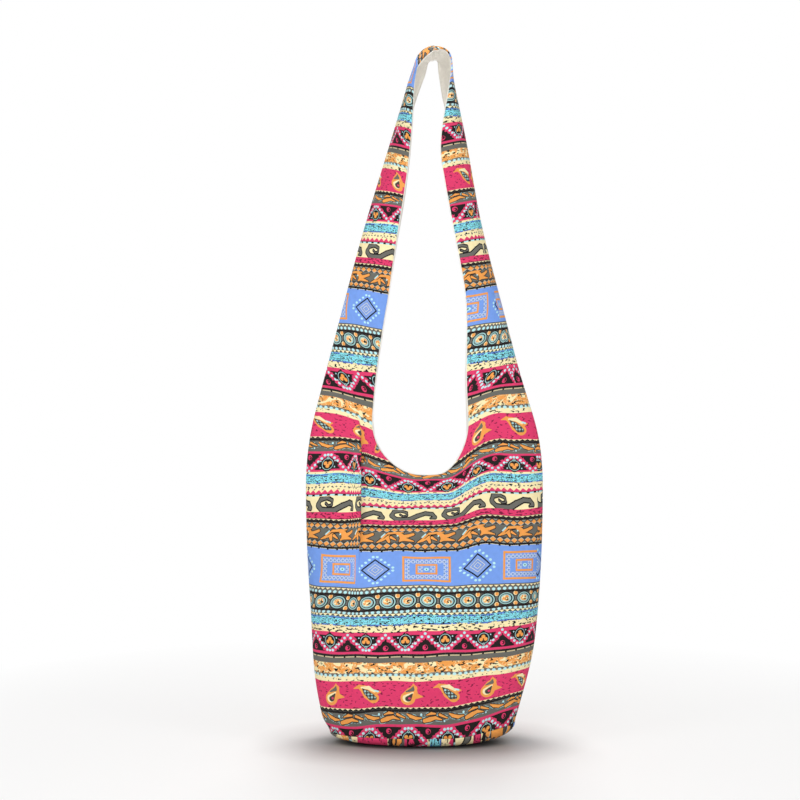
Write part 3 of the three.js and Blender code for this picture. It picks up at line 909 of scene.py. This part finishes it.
# %% Make the two cottons
def cotton(name, thread_mm, rough):
    """A matt cotton: the weave group shades its colour and bumps its surface. Gives it and its colour mix."""
    material = bpy.data.materials.new(name)
    material.use_nodes = True
    tree = material.node_tree
    surface = tree.nodes["Principled BSDF"]
    surface.inputs["Roughness"].default_value = rough
    surface.inputs["Specular IOR Level"].default_value = 0.25
    place = tree.nodes.new("ShaderNodeUVMap")
    place.uv_map = "cloth"
    weave = tree.nodes.new("ShaderNodeGroup")
    weave.node_tree = weave_tree
    weave.inputs["Thread"].default_value = thread_mm
    tree.links.new(place.outputs["UV"], weave.inputs["Cloth"])
    bump = tree.nodes.new("ShaderNodeBump")
    bump.inputs["Strength"].default_value = 0.35
    bump.inputs["Distance"].default_value = 0.0002
    tree.links.new(weave.outputs["Height"], bump.inputs["Height"])
    tree.links.new(bump.outputs["Normal"], surface.inputs["Normal"])
    shade = tree.nodes.new("ShaderNodeMix")
    shade.data_type = "RGBA"
    shade.blend_type = "MULTIPLY"
    shade.inputs[0].default_value = 1.0
    tree.links.new(weave.outputs["Shade"], shade.inputs[7])
    tree.links.new(shade.outputs[2], surface.inputs["Base Color"])
    return material, shade, place


printed_cotton, printed_shade, printed_place = cotton("printed cotton", 0.6, 0.85)
bands = printed_cotton.node_tree.nodes.new("ShaderNodeGroup")
bands.node_tree = print_tree
printed_cotton.node_tree.links.new(printed_place.outputs["UV"], bands.inputs["Cloth"])
printed_cotton.node_tree.links.new(bands.outputs["Color"], printed_shade.inputs[6])

plain_cotton, plain_shade, _ = cotton("plain cotton", 0.45, 0.9)
plain_shade.inputs[6].default_value = dye(250, 247, 240)
print("materials", printed_cotton.name, "and", plain_cotton.name)

# %% [markdown]
# ## The two panels
# Each panel is one piece of cloth from the base seam to the top of the strap. Below the mouth the left
# and right halves share their middle column; above it they part into the two arms. At the free edges the
# cloth is turned under in a narrow rolled hem, so a few more columns carry it round a small half circle.

# %% Lay out rows and columns
BODY_ROWS, MOUTH_ROWS, ARM_ROWS, ARCH_ROWS = 96, 20, 84, 20
body_rows = np.concatenate([np.linspace(0, 24, 12, endpoint=False), np.linspace(24, mouth_low, BODY_ROWS)])
mouth_turn = np.linspace(0, np.pi / 2, MOUTH_ROWS + 1)[1:]
mouth_rows = mouth_low + (mouth_side - mouth_low) * (1 - np.cos(mouth_turn))
arm_rows = np.linspace(mouth_side, arch_start, ARM_ROWS + 1)[1:]
arch_rows = np.linspace(arch_start, seam_length, ARCH_ROWS + 1)[1:]
upper_rows = np.concatenate([mouth_rows, arm_rows, arch_rows])
columns = np.concatenate([
    np.linspace(0, 0.5, 30, endpoint=False),
    np.linspace(0.5, 0.7, 34, endpoint=False),
    np.linspace(0.7, 1, 24),
])
print(len(body_rows), "body rows,", len(upper_rows), "arm rows,", len(columns), "columns to a half")


# %% Where the print lies
ARM_STRETCH = 56.0
STRETCH_FROM = 600.0
STRETCH_OVER = 440.0
PRINT_ASKEW = 0.0175
ARM_EDGE = {LEFT: 34.0, RIGHT: 0.0}
ARM_LEAN = {LEFT: 75.0, RIGHT: 0.0}
EDGE_TAPER = 172.0
PLEAT_HIDES = 25.0
MOUTH_HIDES = 14.0
LEFT_GATHER = 1.35
RIGHT_GATHER = 0.8
RIGHT_GATHER_GROWS = 0.011


def print_up(v, x):
    """Height on the printed cloth: the length of cloth, set a little askew and drawn up here and there, and
    stretched up the arms. Small waves stand for the wrinkles that bend each band."""
    stretch = ARM_STRETCH * (np.clip(v - STRETCH_FROM, 0, None) / STRETCH_OVER) ** 1.6
    left = smooth(-x, 40, 130)
    right = smooth(x, 60, 140)
    drawn = 8.5 * smooth(v, 0, 60) - 3.5 * left
    drawn += right * (3 - 7 * smooth(v, 140, 240) - 9 * smooth(v, 340, 420))
    drawn = mix(drawn, 1.7, smooth(v, 430, 520)) + 6 * smooth(v, 720, 900) * smooth(x, 0, 20)
    waves = 0.9 * np.sin(x / 23 + v / 40) + 0.5 * np.sin(x / 10 - v / 27)
    return v + stretch - drawn - PRINT_ASKEW * x + waves


def free_edge(side, v):
    """How far from the cut panel's middle a row's inner end lies: the mouth's edge, then the arm's, which
    is cut leaning towards the middle."""
    narrow = np.clip(1 - (v - mouth_side) / EDGE_TAPER, 0, 1) ** 2
    arm = mix(ARM_EDGE[side], MOUTH_HALF[side], narrow) - ARM_LEAN[side] * smooth(v, 760, 930)
    return np.where(v < mouth_side, mouth_edge(side, v), arm)


def hidden_cloth(side, x, v):
    """Cloth that a fold hides from the row: the pleat on the left, the bend under the mouth on the right."""
    going = 1 - smooth(v, mouth_side, mouth_side + 150)
    at_mouth = MOUTH_HIDES * smooth(v, 300, 410)
    if side == LEFT:
        fold_at = PLEAT_AT + 45 * smooth(v, mouth_low - 30, mouth_side)
        folded = PLEAT_HIDES * smooth(v, 150, 250) + at_mouth
        return folded * going * (1 - smooth(x, fold_at - 18, fold_at + 5))
    return at_mouth * going * smooth(x, 52, 78)


def printed_places(points, side, v):
    """Print coordinates of a grid of rows: the length along each row from its inner end, and the height.
    The arms are gathered, so they take more cloth than they show, the right one most towards its seam."""
    step = np.linalg.norm(np.diff(points[..., :2], axis=1), axis=2)
    total = np.cumsum(step[:, ::-1], axis=1)[:, ::-1]
    run = np.concatenate([total, np.zeros((len(v), 1))], axis=1)
    gathered = LEFT_GATHER * run if side == LEFT else RIGHT_GATHER * run + RIGHT_GATHER_GROWS * run**2
    run = mix(run, gathered, smooth(v, mouth_side, mouth_side + 120)[:, None])
    run = run + hidden_cloth(side, points[..., 0], v[:, None])
    place = side * (free_edge(side, v)[:, None] + run)
    return np.stack([place, print_up(v[:, None], points[..., 0])], axis=-1)


print("pleat hides", PLEAT_HIDES, "mm of print, the mouth's bends", MOUTH_HIDES)


# %% Sew the side seam round
SEAM_ROUND = 0.21
SEAM_ROUND_ON_ARM = 0.17


def seam_start(face, side, v):
    """Where a panel starts across a row: the right seam lies on the front, so the back reaches past it."""
    if side == LEFT:
        return np.zeros_like(v)
    turned = SEAM_ROUND + SEAM_ROUND_ON_ARM * smooth(v, mouth_low, mouth_side + 60)
    turned = turned * (1 - smooth(v, arch_start - 80, arch_start)) * smooth(v, 0, 40)
    return turned if face == FRONT else -turned


def half_grid(face, side, v, lining):
    """Points of one half of a panel, row by row, from the side seam to the middle or the free edge."""
    start = seam_start(face, side, v)[:, None]
    return cloth(face, side, start + (1 - start) * columns[None, :], v[:, None], lining)


print("seam lies round by", np.round(seam_start(FRONT, RIGHT, np.array([100.0, 600.0])), 2))

# %% Build a panel's points
def panel(face, lining=False):
    """Points, print places and squares of a panel, and its free edge from arm to arm as point numbers."""
    halves = {side: half_grid(face, side, body_rows, lining) for side in (LEFT, RIGHT)}
    prints = {side: printed_places(halves[side], side, body_rows) for side in (LEFT, RIGHT)}
    body = np.concatenate([halves[LEFT], halves[RIGHT][:, -2::-1]], axis=1)
    body_print = np.concatenate([prints[LEFT], prints[RIGHT][:, -2::-1]], axis=1)
    ids = np.arange(body.shape[0] * body.shape[1]).reshape(body.shape[:2])
    points, places, faces = [body.reshape(-1, 3)], [body_print.reshape(-1, 2)], [squares(ids)]
    count = ids.size
    edge = {}
    for side in (LEFT, RIGHT):
        arm = half_grid(face, side, upper_rows, lining)
        arm_print = printed_places(arm, side, upper_rows)
        arm_ids = count + np.arange(arm.shape[0] * arm.shape[1]).reshape(arm.shape[:2])
        top_row = ids[-1, : len(columns)] if side == LEFT else ids[-1, : -len(columns) - 1 : -1]
        joined = squares(np.vstack([top_row[None, :], arm_ids]))
        faces.append(joined if side == LEFT else joined[:, ::-1])
        points.append(arm.reshape(-1, 3))
        places.append(arm_print.reshape(-1, 2))
        edge[side] = arm_ids[:, -1]
        count += arm_ids.size
    all_squares = np.vstack(faces)
    if face == BACK:
        all_squares = all_squares[:, ::-1]
    edge_ids = np.concatenate([edge[LEFT][::-1], ids[-1, len(columns) - 1][None], edge[RIGHT]])
    return np.vstack(points), np.vstack(places), all_squares, edge_ids


def outward(points, faces):
    """Arrows out of a mesh at its points: each square's diagonals crossed, summed at its corners."""
    corner = points[faces]
    slope = np.cross(corner[:, 2] - corner[:, 0], corner[:, 3] - corner[:, 1])
    total = np.zeros_like(points)
    np.add.at(total, faces.ravel(), np.repeat(slope, 4, axis=0))
    return unit(total)


# %% [markdown]
# ### The rolled hem
# A sewn edge is never a single layer of cloth. It is turned under, so it looks like a soft cord along the
# mouth and the strap. Here the free edge is carried round a half circle: one step along the edge crossed
# with the arrow out of the cloth points off the edge, and the hem is rings of points in those two directions.

# %% Turn the hem under
HEM_RADIUS = 1.0
HEM_TURN = np.linspace(0, np.pi, 7)[1:]
HEM_UNDER = 4.0
HEM_FROM = 6


def hem_arrows(points, normals, edge_ids, face):
    """Arrows at the free edge: off it in the plane of the cloth, and out of the cloth. They are taken a few
    columns in, because the very edge of the strap curls round."""
    along = unit(np.gradient(points[edge_ids], axis=0))
    up = normals[edge_ids - HEM_FROM]
    up = unit(up - along * (along * up).sum(axis=-1, keepdims=True))
    return unit(np.cross(along, up)) * face, up


def add_hem(points, places, faces, edge_ids, face):
    """Adds the hem's rings to a panel: round a half circle under the edge, then back along the inside."""
    normals = outward(points, faces)
    off, up = hem_arrows(points, normals, edge_ids, face)
    edge = points[edge_ids]
    rings = [edge + HEM_RADIUS * (np.sin(t) * off - (1 - np.cos(t)) * up) for t in HEM_TURN]
    rings.append(edge - 2 * HEM_RADIUS * up - HEM_UNDER * off)
    run = np.concatenate([HEM_RADIUS * HEM_TURN, [np.pi * HEM_RADIUS + HEM_UNDER]])
    ring_ids = len(points) + np.arange(len(rings) * len(edge)).reshape(len(rings), -1)
    hem_squares = squares(np.vstack([edge_ids[None, :], ring_ids]))
    hem_places = places[edge_ids][None] + np.stack([np.zeros_like(run), run], axis=-1)[:, None]
    return (
        np.vstack([points, np.concatenate(rings)]),
        np.vstack([places, hem_places.reshape(-1, 2)]),
        np.vstack([faces, hem_squares if face == FRONT else hem_squares[:, ::-1]]),
    )


# %% Hang the panels
CLOTH_THICK = 0.7
panels = {}
for face, name in ((FRONT, "front_panel"), (BACK, "back_panel")):
    hemmed = add_hem(*panel(face), face)
    panels[face] = make_piece(name + "_cloth", *hemmed, printed_cotton, CLOTH_THICK)
    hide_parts(name)

# %% [markdown]
# ## The lining
# Inside, the bag is lined with undyed cotton. The lining is cut from the same pattern and lies just within
# the panel, so it is the panel's own points moved in along their arrows. Its edge comes a little past the
# hem, which is why a thin white line runs round the mouth and along the strap.

# %% Sew in the linings
LINING_IN = 2.3
LINING_THICK = 0.4
LINING_PEEP = 2.3
linings = {}
for face, name in ((FRONT, "front_lining"), (BACK, "back_lining")):
    points, places, faces, edge_ids = panel(face, lining=True)
    normals = outward(points, faces)
    inner = points - LINING_IN * normals
    off, _ = hem_arrows(points, normals, edge_ids, face)
    inner[edge_ids] += LINING_PEEP * off
    linings[face] = make_piece(name + "_cloth", inner, places, faces, plain_cotton, LINING_THICK)
    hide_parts(name)

# %% [markdown]
# ## The facing inside the mouth
# A strip of the printed cloth runs round the inside of the mouth, sewn over the lining, so that print and
# not lining shows where the mouth gapes. The strip follows the mouth's edge at a growing distance from it,
# which is a grid of its own: the angle round the mouth one way, the distance from the edge the other.

# %% Find cloth by its distance from the middle
def across_row(face, side, x, v):
    """The s of the point that lies x from the middle: the row's own formula, solved for s."""
    seam_x, _, inward, _ = row_of(face, side, v)
    share = np.clip((seam_x - x) / inward, 0, 1)
    return 2 / np.pi * np.arccos(np.clip((1 - share) ** (SQUARENESS / 2), 0, 1))


FACING_WIDTH = 16.0
FACING_IN = 3.2
facing_round = np.linspace(-np.pi / 2, np.pi / 2, 121)
facing_off = np.linspace(0.4, FACING_WIDTH, 12)


def facing(face):
    """Points, print places and squares of the strip: mouth outlines that grow from the edge into cloth."""
    turn, off = np.meshgrid(facing_round, facing_off)
    half = np.where(turn < 0, MOUTH_HALF[LEFT], MOUTH_HALF[RIGHT]) + off
    x = half * np.abs(np.sin(turn)) ** (2 / MOUTH_SQUARENESS)
    v = mouth_side - (mouth_side - mouth_low + off) * np.cos(turn) ** (2 / MOUTH_SQUARENESS)
    left = cloth(face, LEFT, across_row(face, LEFT, x, v), v, lining=True)
    right = cloth(face, RIGHT, across_row(face, RIGHT, x, v), v, lining=True)
    points = np.where(turn[..., None] < 0, left, right)
    places = np.stack([np.sign(turn) * x, print_up(v, points[..., 0])], axis=-1)
    ids = np.arange(turn.size).reshape(turn.shape)
    faces = squares(ids) if face == BACK else squares(ids)[:, ::-1]
    points, places = points.reshape(-1, 3), places.reshape(-1, 2)
    return points - FACING_IN * outward(points, faces), places, faces


# %% Sew in the facings
facings = {}
for face, name in ((FRONT, "front_mouth_facing"), (BACK, "back_mouth_facing")):
    facings[face] = make_piece(name + "_cloth", *facing(face), printed_cotton, LINING_THICK)
    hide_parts(name)

# %% [markdown]
# ## The base
# The base is an oval of the same cloth, with its print turned a quarter round, dished up at the rim to
# meet the panels. Rings of points shrink from the panels' lowest row towards a flat middle.

# %% Build the base
BASE_RINGS = 22
BASE_PRINT_FROM = -6.0
BASE_PRINT_PULL = 0.88
BASE_LINING_SHARE = [0.985, 0.97, 1.0]
rim_side = np.linspace(0, 1, 60)
rim_parts = [
    cloth(FRONT, LEFT, rim_side, 0.0),
    cloth(FRONT, RIGHT, rim_side[::-1], 0.0)[1:],
    cloth(BACK, RIGHT, rim_side, 0.0)[1:],
    cloth(BACK, LEFT, rim_side[::-1], 0.0)[1:-1],
]
rim = np.vstack(rim_parts)


def dish(rim, depth):
    """Rings of a dish under a rim: a quarter circle from the rim down to the flat, then in to the middle."""
    turn = np.linspace(np.pi / 2, 0, 12)
    share = np.concatenate([mix(BASE_FLAT, 1, np.sin(turn)), np.linspace(BASE_FLAT, 0.004, BASE_RINGS)[1:]])
    height = np.concatenate([1 - np.cos(turn), np.zeros(BASE_RINGS - 1)])
    ring = np.empty((len(share), len(rim), 3))
    ring[..., :2] = rim[None, :, :2] * share[:, None, None]
    ring[..., 2] = height[:, None] * rim[None, :, 2] + depth
    return ring


def closed_squares(rings):
    """Squares of rings that close on themselves: the first column is used again after the last."""
    ids = np.arange(rings.shape[0] * rings.shape[1]).reshape(rings.shape[:2])
    return squares(np.hstack([ids, ids[:, :1]]))


rings = dish(rim, 0.0)
base_print = np.stack([rings[..., 1], BASE_PRINT_FROM - BASE_PRINT_PULL * rings[..., 0]], axis=-1)
base = make_piece(
    "base_panel_cloth", rings.reshape(-1, 3), base_print.reshape(-1, 2), closed_squares(rings),
    printed_cotton, CLOTH_THICK,
)
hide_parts("base_panel")

base_inner = dish(rim * BASE_LINING_SHARE, LINING_IN)
base_lining = make_piece(
    "base_lining_cloth", base_inner.reshape(-1, 3), base_print.reshape(-1, 2), closed_squares(base_inner),
    plain_cotton, LINING_THICK,
)
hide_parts("base_lining")

# %% [markdown]
# ## Camera, floor and light
# The bag hangs with its base just meeting a pale paper floor that fades to white, so it can be seen from
# any side. Near the bag, an Ambient Occlusion node darkens the paper's colour: a painted contact shadow.
# The camera looks level at its middle from about two metres, which is what a short telephoto
# lens needs to take it in. Large soft lamps light it evenly, and two small ones reach under the strap.
# Floor and sky are white to the eye only, so the light that they send to the bag stays soft.

# %% Place the camera
CAMERA_AWAY = 2.2
CAMERA_ASIDE = -0.046
CAMERA_HEIGHT = -0.514
FRAME_WIDTH = 1.1816
SENSOR = 36.0
camera_data = bpy.data.cameras.new("camera")
camera_data.sensor_width = SENSOR
camera_data.lens = SENSOR * CAMERA_AWAY / FRAME_WIDTH
camera = bpy.data.objects.new("camera", camera_data)
camera.location = (CAMERA_ASIDE, -CAMERA_AWAY, CAMERA_HEIGHT)
camera.rotation_euler = (np.pi / 2, 0, 0)
bpy.context.scene.collection.objects.link(camera)
bpy.context.scene.camera = camera
print("camera lens", round(camera_data.lens, 1), "mm")


# %% Lay the floor
def to_the_eye(tree):
    """1 for rays that come from the camera, straight, by a mirror or through glass, and 0 for all others."""
    path = tree.nodes.new("ShaderNodeLightPath")
    rays = ("Is Camera Ray", "Is Glossy Ray", "Is Transmission Ray")
    straight, mirrored, through = (Number(tree, path.outputs[ray]) for ray in rays)
    return straight | mirrored | through


FLOOR = float(base_low[2])
FLOOR_HALF = 6.0
FADE_FROM = 0.2
FADE_OVER = 0.8
floor_mesh = bpy.data.meshes.new("floor")
floor_corners = [(x * FLOOR_HALF, y * FLOOR_HALF, FLOOR) for x, y in ((-1, -1), (1, -1), (1, 1), (-1, 1))]
floor_mesh.from_pydata(floor_corners, [], [(0, 1, 2, 3)])
floor = bpy.data.objects.new("floor", floor_mesh)
bpy.context.scene.collection.objects.link(floor)

paper = bpy.data.materials.new("white paper")
paper.use_nodes = True
paper_tree = paper.node_tree
paper_surface = paper_tree.nodes["Principled BSDF"]
paper_surface.inputs["Roughness"].default_value = 0.9
# Painted contact shadow: the Ambient Occlusion node darkens the paper's colour near the bag.
painted_contact_shadow = paper_tree.nodes.new("ShaderNodeAmbientOcclusion")
painted_contact_shadow.inputs["Color"].default_value = dye(244, 243, 242)
painted_contact_shadow.inputs["Distance"].default_value = 0.12
paper_tree.links.new(painted_contact_shadow.outputs["Color"], paper_surface.inputs["Base Color"])
glow = paper_tree.nodes.new("ShaderNodeEmission")
lit = paper_tree.nodes.new("ShaderNodeMixShader")
paper_place = paper_tree.nodes.new("ShaderNodeTexCoord")
paper_far = paper_tree.nodes.new("ShaderNodeVectorMath")
paper_far.operation = "DISTANCE"
paper_far.inputs[1].default_value = (0, 0, FLOOR)
paper_tree.links.new(paper_place.outputs["Object"], paper_far.inputs[0])
fade = ((Number(paper_tree, paper_far.outputs["Value"]) - FADE_FROM) * (1 / FADE_OVER)).clamp()
paper_tree.links.new((to_the_eye(paper_tree) * fade).socket, lit.inputs[0])
paper_tree.links.new(paper_surface.outputs[0], lit.inputs[1])
paper_tree.links.new(glow.outputs[0], lit.inputs[2])
paper_tree.links.new(lit.outputs[0], paper_tree.nodes["Material Output"].inputs["Surface"])
floor_mesh.materials.append(paper)
print("floor at", round(FLOOR, 4))

# %% Light the studio
SKY = 0.27


def lamp(name, place, aim, size, watts):
    """A square soft lamp at a place, turned to face a point."""
    data = bpy.data.lights.new(name, "AREA")
    data.size = size
    data.energy = watts
    made = bpy.data.objects.new(name, data)
    made.location = place
    made.rotation_euler = (Vector(aim) - Vector(place)).to_track_quat("-Z", "Y").to_euler()
    bpy.context.scene.collection.objects.link(made)


lamp("key", (-0.8, -2.0, -0.1), (0, 0, -0.5), 1.2, 11.5)
lamp("fill", (0.5, -2.0, -0.3), (0, 0, -0.5), 1.6, 4)
lamp("back", (0.2, 2.0, 0.2), (0, 0, -0.5), 1.2, 13)
lamp("top", (0.0, 0.2, 1.25), (0, 0, -0.9), 0.5, 22)
lamp("strap left", (-0.9, -0.6, 0.15), (0, 0, -0.05), 0.4, 2.6)
lamp("strap right", (0.9, -0.6, 0.15), (0, 0, -0.05), 0.4, 2.6)
lamp("low", (0.0, -1.3, -0.98), (0, 0, 0.05), 0.5, 8)
world = bpy.data.worlds.new("studio")
bpy.context.scene.world = world
world.use_nodes = True
world_tree = world.node_tree
sky = world_tree.nodes["Background"]
sky.inputs["Color"].default_value = (1, 1, 1, 1)
sky_strength = to_the_eye(world_tree) * (1 - SKY) + SKY
world_tree.links.new(sky_strength.socket, sky.inputs["Strength"])
bpy.context.scene.view_settings.view_transform = "Standard"
print(len(bpy.data.lights), "lamps, and a sky of", SKY)

# %% [markdown]
# ## Attach the pieces to the body
# Each cloth rides on the bag's one body and has its material's slot. The right side seam lies round on the
# front, so the back was cut a little wider than the front.

# %% Finish
for piece in (*panels.values(), *facings.values(), base):
    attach(piece, "root")
for piece in (*linings.values(), base_lining):
    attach(piece, "root")
